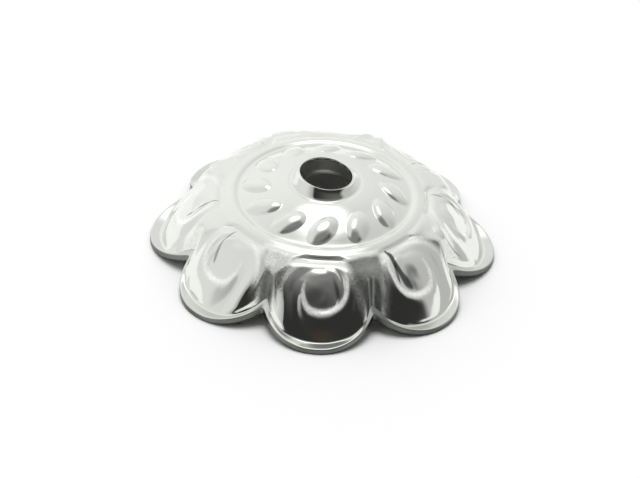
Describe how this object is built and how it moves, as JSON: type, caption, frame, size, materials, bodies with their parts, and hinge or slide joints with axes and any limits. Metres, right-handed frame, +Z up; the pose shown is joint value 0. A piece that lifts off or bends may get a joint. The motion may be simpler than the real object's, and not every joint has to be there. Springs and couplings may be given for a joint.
{
  "type": "bead cap",
  "caption": "Shallow eight-petal bead cap with scrolls in relief on its petals, a ring of slanted grains and a raised collar round its hole.",
  "frame": {"origin": "on the axis of the hole, level with the lowest points of the petal tips", "axes": "+Z up along the axis through the hole, -Y along the middle line of one petal"},
  "size_m": [0.01, 0.01, 0.0027],
  "materials": {
    "silver": "bright polished silver plating"
  },
  "bodies": {
    "root": {"cap": "silver"}
  },
  "joints": []
}
